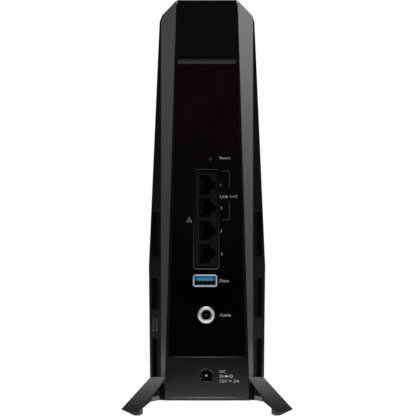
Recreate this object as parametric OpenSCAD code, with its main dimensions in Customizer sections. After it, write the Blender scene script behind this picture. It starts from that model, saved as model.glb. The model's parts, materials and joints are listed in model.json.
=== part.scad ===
// Tower cable modem on two splayed stands: shell mouldings, boards, sockets and buttons.
// +Z is up, the port panel faces -Y, and +X is to the right when looking at the ports.
// The origin is on the floor under the middle of the body. Millimetres.

/* [Body] */
// Height of the top face above the floor
overall_h = 254; // [251:1:257]
// Height of the body's underside above the floor
underside_z = 9.2; // [8.8:0.1:9.6]
// Distance from the middle to the rear face
rear_reach = 84; // [83:0.5:84]
// Distance from the middle to the front face at the underside
front_reach = 84; // [83:0.5:85]
// How far the front face leans back by the top
front_lean = 7; // [4:1:9]
// Half width across the widest side corners
belly_half = 36.2; // [35.5:0.1:37]
// Height of the widest side corners
belly_z = 93; // [91:1:96]
// Half width over the body's four upright corner edges
corner_half = 28.5; // [28:0.5:29]
// Half width of the rear and front columns at the underside
column_low_half = 25.9; // [25:0.1:26]
// Half width of the rear and front columns at the top
column_top_half = 18.4; // [18:0.1:19]
// Thickness of the mouldings
wall = 2.2; // [2:0.1:2.4]
// Half of the gap along each panel line
seam = 0.15; // [0.1:0.05:0.2]

/* [Ports] */
// Height of the four-socket network jack's centre
lan_z = 120; // [118:1:122]
// Distance between neighbouring network sockets
lan_pitch = 13.97; // [13.97:0.01:14.05]
// Height of the data port's centre
usb_z = 82.4; // [82:0.1:83]
// Height of the coaxial connector's axis
coax_z = 61.5; // [58:0.5:65]
// Outer diameter of the coaxial thread
coax_d = 9.525; // [9.4:0.025:9.6]
// Height of the power socket's axis
power_z = 24.5; // [23:0.5:26]
// Height of the reset pinhole
reset_z = 156.8; // [155:1:160]

/* [Vents and buttons] */
// Pitch of the vent louvres
louvre_pitch = 3.6; // [3.2:0.1:4]
// Diameter of the two side buttons
button_d = 9; // [8:0.5:10]
// How far a side button travels
button_travel = 0.8; // [0.5:0.1:0.8]

/* [Hidden] */
$fn = 48;

rear_y = -rear_reach;
miter = sqrt(2) - 1;
far = 60;
ridge_top_half = corner_half + 0.2;
underside_half = belly_half - 0.9;
shoulder = [27.6, 9];        // upper side chamfer: half width, drop below the top
shoulder_bevel = [29.8, 14.5];
underside_slope = 0.32;

recess_low_z = 35.4;
recess_high_z = 219.3;
recess_band = 4.4;
recess_rim = 1.5;
groove = [0.6, 0.7];         // line above the column's foot: depth, height
groove_z = underside_z + 1.3;
panel_y = rear_y + wall + 0.1;
panel_t = 2;
column_back_y = rear_y + 8;
column_front_y = 62;

port_x = -0.5;
usb_x = port_x - 0.7;
board_face_x = -7.3;
board_t = 1.6;
board_back_x = board_face_x - board_t;

window_rear_y = -74.5;
window_ridge_y = -20;
window_front_y = 68;
window_low = [22, 47.7];
window_high = [97.7, 126];
side_buttons_z = 56.6;
pairing_y = -60;
wireless_y = -38;
switch_face_x = 20;
switch_h = 4;
button_board_x = switch_face_x - 1.2;
button_board_holes = [-68, -30];
button_board_hole_z = 48;
reset_x = 2;
tab_y = [-44, 36];
tab_screw_x = 22;
tab_z = underside_z + 0.1;
tab_t = 1.8;
base_screw_x = 18;
base_screw_y = [-56, 48];
led_count = 8;
led_pitch = 9;
led_first_z = 108;
led_last_z = led_first_z + (led_count - 1) * led_pitch;
led_stakes = [led_first_z - 10, led_last_z + 10];
led_y = 66;

glossy_black = [0.03, 0.03, 0.035];
satin_black = [0.09, 0.09, 0.1];
corner_grey = [0.36, 0.35, 0.36];
stand_grey = [0.25, 0.25, 0.26];
board_green = [0.05, 0.25, 0.13];
steel = [0.75, 0.75, 0.76];
aluminium = [0.82, 0.83, 0.85];
gold = [0.85, 0.68, 0.3];

function mix(a, b, k) = a + (b - a) * k;
function rise(z) = (z - underside_z) / (overall_h - underside_z);
function column_half(z) = mix(column_low_half, column_top_half, rise(z));
function front_y(z) = front_reach - front_lean * rise(z);
function corner_run(z) = corner_half - column_half(z);
function rear_corner_y(z) = rear_y + corner_run(z);
function front_corner_y(z) = front_y(z) - corner_run(z);
function ridge_half(z) = z < belly_z
    ? mix(underside_half, belly_half, (z - underside_z) / (belly_z - underside_z))
    : mix(belly_half, ridge_top_half, (z - belly_z) / (overall_h - belly_z));

// Plan corners of the right half at height z, drawn inwards by t, from rear to front
function half_plan(z, t) = [
    [column_half(z) - t * miter, rear_y + t],
    [corner_half - t, rear_corner_y(z) + t * miter],
    [ridge_half(z) - t, 0],
    [corner_half - t, front_corner_y(z) - t * miter],
    [column_half(z) - t * miter, front_y(z) - t]
];
function plan_ring(z, t) = let (half = half_plan(z, t)) [
    for (p = half) [p.x, p.y, z],
    for (i = [len(half) - 1:-1:0]) [-half[i].x, half[i].y, z]
];
function wall_x(y, z) = mix(corner_half, ridge_half(z), 1 - abs(y) / abs(rear_corner_y(z)));

// Closed solid through rings of equal count, with each wall split along its proud diagonal
module skin(rings) {
    n = len(rings[0]);
    last = len(rings) - 1;
    points = [for (ring = rings) each ring];
    walls = [
        for (i = [0:last - 1], j = [0:n - 1])
            let (
                a = i * n + j,
                b = i * n + (j + 1) % n,
                c = b + n,
                d = a + n,
                bulge = cross(points[b] - points[a], points[c] - points[a]) * (points[d] - points[a])
            )
            each bulge <= 0 ? [[c, b, a], [d, c, a]] : [[d, b, a], [d, c, b]]
    ];
    ends = [[for (j = [0:n - 1]) j], [for (j = [n - 1:-1:0]) last * n + j]];
    polyhedron(points, concat(walls, ends));
}

// Box between two corners
module block(low, high) {
    translate(low) cube(high - low);
}

// Cylinder along +Y from y0 to y1
module rod_y(x, z, d, y0, y1) {
    translate([x, y0, z]) rotate([-90, 0, 0]) cylinder(d = d, h = y1 - y0);
}

// Cylinder along +X from x0 to x1
module rod_x(y, z, d, x0, x1) {
    translate([x0, y, z]) rotate([0, 90, 0]) cylinder(d = d, h = x1 - x0);
}

// Outline in X and Z pushed through from y0 to y1
module upright(y0, y1) {
    translate([0, y1, 0]) rotate([90, 0, 0]) linear_extrude(y1 - y0) children();
}

// Rectangle in plan units with arcs at its corners, kept exact for ports and windows
module soft_rect(w, h, r) {
    square([w - 2 * r, h], center = true);
    square([w, h - 2 * r], center = true);
    for (sx = [-1, 1], sy = [-1, 1])
        translate([sx * (w / 2 - r), sy * (h / 2 - r)]) circle(r);
}

// Silhouette seen from the rear, drawn inwards by t
module silhouette(t) {
    half = [
        [column_low_half, underside_z + t],
        [far, underside_z + t + underside_slope * (far - column_low_half)],
        [far, overall_h - shoulder_bevel.y - t],
        [shoulder_bevel.x - t, overall_h - shoulder_bevel.y - t * miter],
        [shoulder.x - 0.7 * t, overall_h - shoulder.y - 0.7 * t],
        [column_top_half - t * miter, overall_h - t]
    ];
    polygon([for (p = half) p, for (i = [len(half) - 1:-1:0]) [-half[i].x, half[i].y]]);
}

// The body as one solid, drawn inwards by t
module casing(t = 0) {
    intersection() {
        skin([for (z = [underside_z, belly_z, overall_h]) plan_ring(z, t)]);
        upright(-2 * rear_reach, 2 * rear_reach) silhouette(t);
    }
}

module shell() {
    difference() {
        casing();
        casing(wall);
    }
}

// Everything between the column lines, from y0 to y1
module column_zone(grow, y0, y1, z0 = 0, z1 = overall_h + 5) {
    upright(y0, y1) polygon([
        [-column_half(z0) - grow, z0], [column_half(z0) + grow, z0],
        [column_half(z1) + grow, z1], [-column_half(z1) - grow, z1]
    ]);
}

// Right-hand zone outside the column lines, between two slanting upright planes
module flank_zone(y_low_at, y_high_at) {
    levels = [0, overall_h + 5];
    skin([for (i = [0, 1]) let (z = levels[i], x = column_half(z) + seam) [
        [x, y_low_at[i], z], [far, y_low_at[i], z], [far, y_high_at[i], z], [x, y_high_at[i], z]
    ]]);
}

function rear_line(shift) = [for (z = [0, overall_h + 5]) rear_corner_y(z) + shift];
function front_line(shift) = [for (z = [0, overall_h + 5]) front_corner_y(z) + shift];
function level_line(y) = [y, y];

module mirrored(side) {
    mirror([side < 0 ? 1 : 0, 0, 0]) children();
}

// ---- Casing mouldings ----

// Recess in the rear column, with a sloping upper band and a short lower step
module recess_cut() {
    function frame(y, low, high, rim) = [
        [-column_half(low) + rim, y, low], [column_half(low) - rim, y, low],
        [column_half(high) - rim, y, high], [-column_half(high) + rim, y, high]
    ];
    inner_low = recess_low_z + 1.2;
    inner_high = recess_high_z - recess_band;
    skin([
        frame(rear_y + wall + 1, inner_low, inner_high, recess_rim + 0.4),
        frame(rear_y + wall, inner_low, inner_high, recess_rim + 0.4),
        frame(rear_y, recess_low_z, recess_high_z, recess_rim),
        frame(rear_y - 1, recess_low_z, recess_high_z, recess_rim)
    ]);
}

module rear_frame() {
    color(glossy_black) difference() {
        intersection() {
            shell();
            column_zone(-seam, rear_y - 1, column_back_y);
        }
        recess_cut();
        block([-far, rear_y - 1, groove_z], [far, rear_y + groove.x, groove_z + groove.y]);
        rod_y(port_x, power_z, 6.6, rear_y - 1, rear_y + wall + 1);
        translate([port_x, rear_y + 1, power_z]) rotate([90, 0, 0])
            cylinder(d1 = 6.6, d2 = 8.8, h = 1.1);
    }
}

// Recessed port panel with a raised rim round the network jack
module io_panel() {
    rim = [16, 61.4];
    color(glossy_black) difference() {
        union() {
            upright(panel_y, panel_y + panel_t) polygon([
                [-column_half(33.5) + 1.3, 33.5], [column_half(33.5) - 1.3, 33.5],
                [column_half(217.5) - 1.3, 217.5], [-column_half(217.5) + 1.3, 217.5]
            ]);
            upright(panel_y - 0.5, panel_y + 0.1) translate([port_x, lan_z]) difference() {
                soft_rect(rim.x, rim.y, 1.8);
                soft_rect(rim.x - 1.3, rim.y - 1.3, 1.2);
            }
        }
        upright(panel_y - 1, panel_y + panel_t + 1) {
            translate([port_x, lan_z]) square([13.9, 58.4], center = true);
            translate([usb_x, usb_z]) soft_rect(13.8, 6.4, 1);
        }
        rod_y(port_x, coax_z, 11.2, panel_y - 1, panel_y + panel_t + 1);
        rod_y(reset_x, reset_z, 3, panel_y - 1, panel_y + panel_t + 1);
        translate([reset_x, panel_y + 0.5, reset_z]) rotate([90, 0, 0])
            cylinder(d1 = 3, d2 = 4, h = 0.51);
    }
}

// Window outlines in Y and Z for one flank; the bar above the lowest window carries buttons
module window_outlines(bar_high_z) {
    rows = [window_low, [bar_high_z, 85.1], window_high];
    spans = [[window_rear_y, window_ridge_y], [-window_ridge_y, window_front_y]];
    for (row = rows, span = spans)
        translate([(span[0] + span[1]) / 2, (row[0] + row[1]) / 2])
            soft_rect(span[1] - span[0], row[1] - row[0], 1.5);
}

function bar_high(side) = side < 0 ? 65.5 : 60.7;

module vent_windows(side) {
    translate([20, 0, 0]) rotate([90, 0, 90]) linear_extrude(30) window_outlines(bar_high(side));
}

// Pockets under the right half of the base for the tabs of a stand
module tab_pockets() {
    for (y = tab_y) block([18.5, y - 5.4, underside_z - 1], [33, y + 5.4, tab_z + tab_t + 0.4]);
}

module side_panel(side) {
    color(satin_black) mirrored(side) difference() {
        intersection() {
            shell();
            flank_zone(rear_line(seam), front_line(-seam));
        }
        tab_pockets();
        vent_windows(side);
        if (side < 0)
            for (y = [pairing_y, wireless_y])
                rod_x(y, side_buttons_z, button_d + 0.5, 20, 45);
    }
}

module left_side_panel() side_panel(-1);
module right_side_panel() side_panel(1);

module rear_trim(side) {
    color(corner_grey) mirrored(side) intersection() {
        shell();
        flank_zone(level_line(rear_y - 5), rear_line(-seam));
    }
}

module front_trim(side) {
    color(corner_grey) mirrored(side) intersection() {
        shell();
        flank_zone(front_line(seam), level_line(front_reach + 5));
    }
}

module rear_left_trim() rear_trim(-1);
module rear_right_trim() rear_trim(1);
module front_left_trim() front_trim(-1);
module front_right_trim() front_trim(1);

module front_panel() {
    color(glossy_black) difference() {
        union() {
            intersection() {
                shell();
                column_zone(-seam, column_front_y + 2 * seam, front_reach + 1);
            }
            for (z = led_stakes) {
                rod_y(0, z, 5, led_y + 1.2, front_y(z) - 1);
                rod_y(0, z, 2.2, led_y - 0.8, led_y + 1.3);
            }
        }
        for (i = [0:led_count - 1])
            rod_y(0, led_first_z + i * led_pitch, 3.4, 70, front_reach + 1);
    }
}

module top_grille() {
    color(satin_black) difference() {
        intersection() {
            shell();
            column_zone(-seam, column_back_y + 2 * seam, column_front_y, overall_h - 20);
        }
        for (y = [-66:5:56])
            block([-12, y - 1, overall_h - wall - 1], [12, y + 1, overall_h + 1]);
    }
}

module base_tray() {
    color(satin_black) difference() {
        intersection() {
            union() {
                shell();
                for (side = [-1, 1], y = tab_y)
                    mirrored(side) block([17, y - 7, underside_z], [26, y + 7, underside_z + 4.4]);
            }
            column_zone(-seam, column_back_y + 2 * seam, column_front_y, 0, underside_z + 20);
        }
        for (side = [-1, 1]) mirrored(side) tab_pockets();
        for (y = [-30:6:30])
            if (abs(y) > 14) block([-14, y - 1.2, underside_z - 1], [14, y + 1.2, underside_z + wall + 1]);
        for (side = [-1, 1], y = base_screw_y) {
            translate([side * base_screw_x, y, underside_z - 1]) cylinder(d = 3.4, h = wall + 2);
            translate([side * base_screw_x, y, underside_z - 1]) cylinder(d = 6, h = 2.4);
        }
        for (side = [-1, 1], y = tab_y)
            translate([side * tab_screw_x, y, underside_z - 1]) cylinder(d = 2.6, h = 7);
    }
}

// Louvred sheet that lies behind one flank's windows
module vent_grille(side) {
    rows = [window_low, [bar_high(side), 85.1], window_high];
    spans = [[window_rear_y, window_ridge_y], [-window_ridge_y, window_front_y]];
    lap = 1.4;
    color(satin_black) mirrored(side) difference() {
        intersection() {
            difference() {
                casing(wall + 0.3);
                casing(wall + 1.4);
            }
            union() for (row = rows, span = spans)
                block([20, span[0] - lap, row[0] - lap], [45, span[1] + lap, row[1] + lap]);
            flank_zone(rear_line(seam), front_line(-seam));
        }
        for (row = rows, span = spans) {
            count = floor((span[1] - span[0] - 2) / louvre_pitch);
            start = (span[0] + span[1] - (count - 1) * louvre_pitch) / 2;
            for (i = [0:count - 1])
                block([20, start + i * louvre_pitch - 0.9, row[0] + 1.5],
                      [45, start + i * louvre_pitch + 0.9, row[1] - 1.5]);
        }
    }
}

module left_vent_grille() vent_grille(-1);
module right_vent_grille() vent_grille(1);

// ---- Stands ----

// Leg outline seen from the rear, its foot to the right
leg_outline = [
    [25.1, 23.8], [32.8, 11.9], [35.2, 8.6], [40.7, 3.9], [43.2, 0.3],
    [44.9, 0.3], [52.4, 3.9], [34.6, 23.4]
];
pad_size = [3.8, 13, 3.8];
pad_at = [42.6, 80.5];

// One splayed leg that wraps the body's lower rear corner on the right
module leg() {
    lean = 5;
    pocket_gap = 0.3;
    difference() {
        intersection() {
            upright(-100, -50) polygon(leg_outline);
            translate([20, 0, 0]) rotate([90, 0, 90]) linear_extrude(40) polygon([
                [-60, 24], [-rear_reach - 2.4, 24], [-rear_reach - 2.4 - lean, 2],
                [-rear_reach - lean, 0], [-72, 0], [-69, 9]
            ]);
            skin([
                [
                    [36.9, -50, 0], [36.9, -84.8, 0], [44.7, -92.6, 0],
                    [55.4, -92.6, 0], [58, -90, 0], [58, -50, 0]
                ],
                [
                    [23.8, -50, 24], [23.8, -86.5, 24], [26.3, -89, 24],
                    [34.8, -89, 24], [37.4, -86.4, 24], [37.4, -50, 24]
                ]
            ]);
        }
        block([40, -pad_at.y - pad_size.y / 2 - pocket_gap, -1],
              [pad_at.x + pad_size.x / 2 + pocket_gap, -50, pad_size.z + 0.1]);
    }
}

// Rail that joins a rear and a front leg along the body's lower edge
module rail() {
    function rail_ring(y, reach, low, top) = [
        [28.4, y, low + 1.3], [reach - 0.6, y, low], [reach, y, low + 1.8], [reach + 0.6, y, top - 4],
        [reach, y, top], [28.4, y, top]
    ];
    end = [rail_ring(80, 33.9, 11.2, 21), rail_ring(74, 35, 8.4, 19.5), rail_ring(50, 34.8, 9, 17.5)];
    skin(concat(end, [rail_ring(0, 37.2, 9.4, 16)], [
        for (i = [len(end) - 1:-1:0]) [for (p = end[i]) [p.x, -p.y, p.z]]
    ]));
}

module stand(side) {
    color(stand_grey) mirrored(side) difference() {
        union() {
            difference() {
                union() {
                    leg();
                    mirror([0, 1, 0]) leg();
                    rail();
                }
                casing(-0.2);
            }
            for (y = tab_y) block([19, y - 5, tab_z], [32, y + 5, tab_z + tab_t]);
        }
        for (y = tab_y) translate([tab_screw_x, y, tab_z - 1]) {
            cylinder(d = 3, h = 6);
            cylinder(d = 5.2, h = 2);
        }
    }
}

module left_stand() stand(-1);
module right_stand() stand(1);

module foot_pads() {
    color([0.13, 0.13, 0.14])
        for (sx = [-1, 1], sy = [-1, 1])
            translate([sx * pad_at.x, sy * pad_at.y, 0])
                linear_extrude(pad_size.z) soft_rect(pad_size.x, pad_size.y, 0.8);
}

// Pan-head screw along +Z with its head's face at z
module screw(x, y, z, d, length, head_d, head_h) {
    translate([x, y, z]) {
        difference() {
            cylinder(d = head_d, h = head_h);
            for (turn = [0, 90])
                rotate(turn) block([-head_d * 0.28, -0.3, -1], [head_d * 0.28, 0.3, head_h * 0.45]);
        }
        cylinder(d = d, h = length);
    }
}

module stand_screws() {
    color(steel) for (side = [-1, 1], y = tab_y)
        screw(side * tab_screw_x, y, tab_z + 0.1, 2.4, 5.4, 4.8, 0.9);
}

module base_screws() {
    color(steel) for (side = [-1, 1], y = base_screw_y)
        screw(side * base_screw_x, y, underside_z + 0.2, 2.8, 7.4, 5.4, 1.2);
}

module rating_plate() {
    color([0.62, 0.62, 0.62])
        translate([0, 0, underside_z - 0.25]) linear_extrude(0.2) soft_rect(26, 20, 1.5);
}

// ---- Buttons and their switches ----

module reset_button() {
    color([0.5, 0.5, 0.5]) {
        rod_y(reset_x, reset_z, 2.4, panel_y + 0.7, panel_y + 7);
        rod_y(reset_x, reset_z, 3.4, panel_y + 2.6, panel_y + 3.6);
    }
}

module reset_switch() {
    y0 = panel_y + 4.8;
    color(satin_black) difference() {
        block([board_face_x, y0, reset_z - 3.2], [reset_x + 3.2, y0 + 5, reset_z + 3.2]);
        rod_y(reset_x, reset_z, 2.6, y0 - 1, y0 + 3.4);
    }
}

// Round cap with a flange and a stepped stem; its face follows the flank and stands proud of it
module side_button(y) {
    flange_x = wall_x(y, side_buttons_z) - wall - 3;
    stem_x = switch_face_x + switch_h + button_travel + 0.6;
    color(satin_black) mirror([1, 0, 0]) {
        intersection() {
            rod_x(y, side_buttons_z, button_d, flange_x + 0.4, 45);
            casing(-0.7);
        }
        rod_x(y, side_buttons_z, button_d + 2, flange_x, flange_x + 1);
        rod_x(y, side_buttons_z, 4, stem_x, flange_x + 0.5);
        rod_x(y, side_buttons_z, 3, switch_face_x + 1.4 + button_travel, stem_x + 0.1);
    }
}

module pairing_button() side_button(pairing_y);
module wireless_button() side_button(wireless_y);

// Small upright board that carries the two side switches
module button_board() {
    color(board_green) mirror([1, 0, 0]) difference() {
        block([button_board_x, -72, 44], [switch_face_x, -26, 70]);
        for (y = button_board_holes) rod_x(y, button_board_hole_z, 2.8, 10, 30);
    }
}

module side_switch(y) {
    color([0.12, 0.12, 0.12]) mirror([1, 0, 0]) difference() {
        block([switch_face_x, y - 3, side_buttons_z - 3],
              [switch_face_x + switch_h, y + 3, side_buttons_z + 3]);
        rod_x(y, side_buttons_z, 3.3, switch_face_x + 1, switch_face_x + switch_h + 1);
    }
}

module pairing_switch() side_switch(pairing_y);
module wireless_switch() side_switch(wireless_y);

// ---- Network jack ----

function socket_z(i) = lan_z + (1.5 - i) * lan_pitch;

// Plug outline in X and Z, its latch to the right
module plug_outline() {
    translate([-4.1, -5.9]) square([6.6, 11.8]);
    translate([2.4, -3.3]) square([1.7, 6.6]);
    translate([4, -2]) square([1.6, 4]);
}

module lan_housing() {
    color([0.1, 0.1, 0.105]) difference() {
        block([board_face_x + 0.1, panel_y - 0.2, lan_z - 28.85],
              [port_x + 6.7, panel_y + 20.8, lan_z + 28.85]);
        for (i = [0:3]) translate([port_x, 0, socket_z(i)])
            upright(panel_y - 1, panel_y + 14.8) plug_outline();
    }
}

module lan_contacts() {
    color(gold) for (i = [0:3], k = [-3.5:1:3.5])
        translate([port_x - 3.9, panel_y + 3, socket_z(i) + k * 1.02])
            rotate([0, 0, -4]) block([0, 0, -0.18], [0.3, 11.6, 0.18]);
}

// ---- Data port ----

module usb_shell() {
    x = usb_x;
    color(steel) {
        upright(panel_y - 0.9, panel_y + 14.5) translate([x, usb_z]) difference() {
            soft_rect(13.1, 5.7, 0.8);
            soft_rect(12.3, 4.9, 0.6);
        }
        upright(panel_y - 0.9, panel_y - 0.15) translate([x, usb_z]) difference() {
            soft_rect(15, 7.5, 1.7);
            soft_rect(12.9, 5.5, 0.8);
        }
        upright(panel_y + 14.4, panel_y + 15) translate([x, usb_z]) soft_rect(13.1, 5.7, 0.8);
    }
}

module usb_core() {
    x = usb_x;
    color([0.05, 0.32, 0.75]) {
        block([x - 5.9, panel_y + 11.5, usb_z - 2.2], [x + 5.9, panel_y + 14.3, usb_z + 2.2]);
        block([x - 5.6, panel_y + 0.4, usb_z + 0.2], [x + 5.6, panel_y + 11.6, usb_z + 2]);
    }
}

module usb_contacts() {
    x = usb_x;
    color(gold) for (k = [-1.5:1:1.5])
        block([x + k * 2.3 - 0.5, panel_y + 1.4, usb_z + 0.02],
              [x + k * 2.3 + 0.5, panel_y + 10.8, usb_z + 0.18]);
}

// ---- Coaxial connector ----

module coax_barrel() {
    color(steel) difference() {
        union() {
            rod_y(port_x, coax_z, coax_d, panel_y - 9.2, panel_y + 3);
            rod_y(port_x, coax_z, 10.9, panel_y - 1.4, panel_y + 2.2);
            block([board_face_x + 0.1, panel_y + 2.1, coax_z - 6.5],
                  [port_x + 6.5, panel_y + 14, coax_z + 6.5]);
        }
        rod_y(port_x, coax_z, 6.6, panel_y - 10, panel_y + 10);
    }
}

module coax_insulator() {
    color([0.1, 0.1, 0.1]) difference() {
        rod_y(port_x, coax_z, 6.5, panel_y - 8.6, panel_y + 9.9);
        rod_y(port_x, coax_z, 1.5, panel_y - 9.5, panel_y + 6);
    }
}

module coax_contact() {
    color(gold) difference() {
        rod_y(port_x, coax_z, 1.4, panel_y - 7.4, panel_y + 5.9);
        rod_y(port_x, coax_z, 0.9, panel_y - 8, panel_y + 3);
    }
}

// ---- Power socket ----

module power_jack() {
    y0 = rear_y + wall + 0.1;
    color([0.05, 0.05, 0.05]) difference() {
        block([board_face_x + 0.1, y0, power_z - 4.6], [port_x + 4.6, y0 + 14, power_z + 4.6]);
        rod_y(port_x, power_z, 6, y0 - 1, y0 + 9.6);
        block([port_x - 4, y0 + 1.5, power_z - 1.2], [port_x, y0 + 9.4, power_z + 1.2]);
    }
}

module power_pin() {
    y0 = rear_y + wall + 0.1;
    color(steel) rod_y(port_x, power_z, 2, y0 + 0.6, y0 + 9.6);
}

module power_spring() {
    y0 = rear_y + wall + 0.1;
    color(steel) block([port_x - 3.9, y0 + 2, power_z - 0.9], [port_x - 3.5, y0 + 9, power_z + 0.9]);
}

// ---- Inner frame and main board ----

function board_holes() = [for (y = [-66, -10, 50], z = [36, 215]) [y, z]];

// Carrier plate with a foot flange, standoffs and lightening windows
module chassis() {
    plate_x = board_back_x - 5.1;
    color(satin_black) difference() {
        union() {
            block([plate_x, -72, underside_z + wall], [plate_x + 1.6, 58, 226]);
            block([-16, -62, underside_z + wall], [16, 54, underside_z + wall + 2]);
            for (y = base_screw_y)
                block([-21, y - 4.4, underside_z + wall], [21, y + 4.4, underside_z + wall + 2]);
            for (y = button_board_holes)
                rod_x(y, button_board_hole_z, 5.6, -button_board_x, plate_x + 0.1);
            for (p = board_holes()) rod_x(p.x, p.y, 6, plate_x + 1.5, board_back_x - 0.05);
            for (side = [-1, 1], y = base_screw_y)
                translate([side * base_screw_x, y, underside_z + wall + 1.9]) cylinder(d = 6, h = 5);
        }
        for (p = board_holes()) rod_x(p.x, p.y, 2.5, plate_x - 1, board_back_x + 1);
        for (y = button_board_holes)
            rod_x(y, button_board_hole_z, 2.5, -button_board_x - 1, plate_x + 3);
        for (side = [-1, 1], y = base_screw_y)
            translate([side * base_screw_x, y, underside_z + 1]) cylinder(d = 2.9, h = 7.2);
        for (z = [52, 96, 140, 184]) block([plate_x - 1, -54, z], [plate_x + 3, 42, z + 24]);
    }
}

module main_board() {
    color(board_green) difference() {
        block([board_back_x, -78, 18], [board_face_x, 56, 222]);
        block([board_back_x - 1, -79, usb_z - 4.2], [board_face_x + 1, -66.4, usb_z + 4.2]);
        for (p = board_holes()) rod_x(p.x, p.y, 3.2, board_back_x - 1, board_face_x + 1);
    }
}

module board_screws() {
    color(steel) {
        for (p = board_holes())
            translate([board_face_x + 1.75, p.x, p.y]) rotate([0, -90, 0]) screw(0, 0, 0, 2.3, 8, 5.2, 1.7);
        for (y = button_board_holes)
            translate([-switch_face_x - 1.45, y, button_board_hole_z]) rotate([0, 90, 0])
                screw(0, 0, 0, 2.3, 7, 4.6, 1.4);
    }
}

module lan_magnetics() {
    color([0.06, 0.06, 0.06]) for (z = [lan_z - 14, lan_z + 14])
        block([board_face_x, -56, z - 9], [board_face_x + 5.5, -44, z + 9]);
}

module shield_can(y0, y1, z0, z1, x0, h) {
    difference() {
        block([x0, y0, z0], [x0 + h, y1, z1]);
        block([x0 - 1, y0 + 0.3, z0 + 0.3], [x0 + h - 0.3, y1 - 0.3, z1 - 0.3]);
    }
}

module tuner_shield() {
    color(steel) shield_can(-64, -26, 44, 78, board_face_x, 6);
}

module processor_shield() {
    color(steel) shield_can(-24, 24, 96, 140, board_face_x, 3);
}

module thermal_pad() {
    color([0.5, 0.6, 0.75]) block([board_face_x + 3, -20, 100], [board_face_x + 4, 20, 136]);
}

module main_heatsink() {
    x0 = board_face_x + 4;
    color(aluminium) {
        block([x0, -34, 86], [x0 + 3, 34, 150]);
        for (y = [-33:6:27]) block([x0 + 2.9, y, 86], [x0 + 14, y + 1.4, 150]);
    }
}

module memory_chips() {
    color([0.05, 0.05, 0.05]) for (y = [30, 44], z = [100, 126])
        block([board_face_x, y - 5, z - 7], [board_face_x + 1.1, y + 5, z + 7]);
}

module capacitors() {
    color([0.15, 0.2, 0.3]) for (y = [-50, -38, -26], z = [24, 34])
        rod_x(y, z, 8, board_face_x, board_face_x + 11.5);
}

module inductors() {
    color([0.25, 0.25, 0.25]) for (y = [-8, 8, 24])
        block([board_face_x, y - 5, 22], [board_face_x + 4.5, y + 5, 32]);
}

// ---- Radio board, antennas and their leads ----

wifi_x = 12;
wifi_span = [-26, 42];
wifi_rise = [158, 222];

module wifi_board() {
    color(board_green) difference() {
        block([wifi_x, wifi_span[0], wifi_rise[0]], [wifi_x + 1.2, wifi_span[1], wifi_rise[1]]);
        for (y = [-22, 38], z = [162, 218]) rod_x(y, z, 3, wifi_x - 1, wifi_x + 3);
    }
}

module wifi_spacers() {
    color(gold) for (y = [-22, 38], z = [162, 218])
        translate([board_face_x, y, z]) rotate([0, 90, 0])
            cylinder(d = 5, h = wifi_x - board_face_x, $fn = 6);
}

module wifi_shield() {
    color(steel) shield_can(-14, 26, 168, 206, wifi_x + 1.2, 2.6);
}

module wifi_heatsink() {
    x0 = wifi_x + 3.8;
    color(aluminium) {
        block([x0, -10, 170], [x0 + 1.6, 22, 204]);
        for (y = [-10:5:20]) block([x0 + 1.5, y, 170], [x0 + 6, y + 1.2, 204]);
    }
}

antenna_x = 22.4;
function antenna_spots() = [for (side = [-1, 1], y = [-44, 48]) [side, y]];

module antennas() {
    color([0.1, 0.35, 0.2]) for (spot = antenna_spots())
        block([spot[0] * antenna_x - 0.4, spot[1] - 6, 176], [spot[0] * antenna_x + 0.4, spot[1] + 6, 222]);
}

// Foam pads that hold each antenna off the inside of its flank
module antenna_pads() {
    color([0.2, 0.2, 0.2]) for (spot = antenna_spots(), z = [182, 212])
        mirrored(spot[0]) intersection() {
            block([antenna_x + 0.4, spot[1] - 4, z - 4], [40, spot[1] + 4, z + 4]);
            casing(wall + 0.05);
        }
}

// Round tube swept along a list of points, its rings square to the chords
module tube(path, d, sides = 8) {
    last = len(path) - 1;
    function way(i) = path[min(i + 1, last)] - path[max(i - 1, 0)];
    function unit(v) = v / norm(v);
    skin([for (i = [0:last]) let (
        w = unit(way(i)),
        u = unit(cross([0, 0.1, 1], w)),
        v = cross(w, u)
    ) [for (k = [0:sides - 1]) path[i] + d / 2 * (cos(k * 360 / sides) * u + sin(k * 360 / sides) * v)]]);
}

// Smooth route through four points that guide it
function curve(p, steps) = [for (i = [0:steps]) let (t = i / steps, s = 1 - t)
    s * s * s * p[0] + 3 * s * s * t * p[1] + 3 * s * t * t * p[2] + t * t * t * p[3]];

// Two short routes on the right, and two that cross over the top of the chassis from the left
lead_routes = [
    for (y = [[-44, -20], [48, 36]])
        [[antenna_x, y[0], 175.9], [antenna_x, y[0], 158], [24, y[1], 158], [14, y[1], 173]],
    for (y = [[-44, -20], [48, 36]])
        [[-antenna_x, y[0], 222.1], [-20, y[0], 262], [34, y[1], 240], [14, y[1], 212]]
];

module antenna_leads() {
    color([0.08, 0.08, 0.08]) for (route = lead_routes) tube(curve(route, 22), 1.3);
}

// ---- Status lights ----

module led_board() {
    color(board_green) difference() {
        block([-6, led_y, led_first_z - 14], [6, led_y + 1.2, led_last_z + 14]);
        for (z = led_stakes) rod_y(0, z, 2.4, led_y - 1, led_y + 2);
    }
}

module status_leds() {
    color([0.95, 0.95, 0.85]) for (i = [0:led_count - 1]) {
        z = led_first_z + i * led_pitch;
        block([-1.4, led_y + 1.2, z - 0.8], [1.4, led_y + 2.2, z + 0.8]);
    }
}

// Clear bar with one post through each hole of the front panel
module light_guide() {
    color([0.8, 0.85, 0.9, 0.6]) {
        block([-4, led_y + 2.4, led_first_z - 5], [4, led_y + 4.4, led_last_z + 5]);
        for (i = [0:led_count - 1])
            intersection() {
                rod_y(0, led_first_z + i * led_pitch, 3, led_y + 4.3, front_reach + 1);
                casing(0.25);
            }
    }
}

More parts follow.
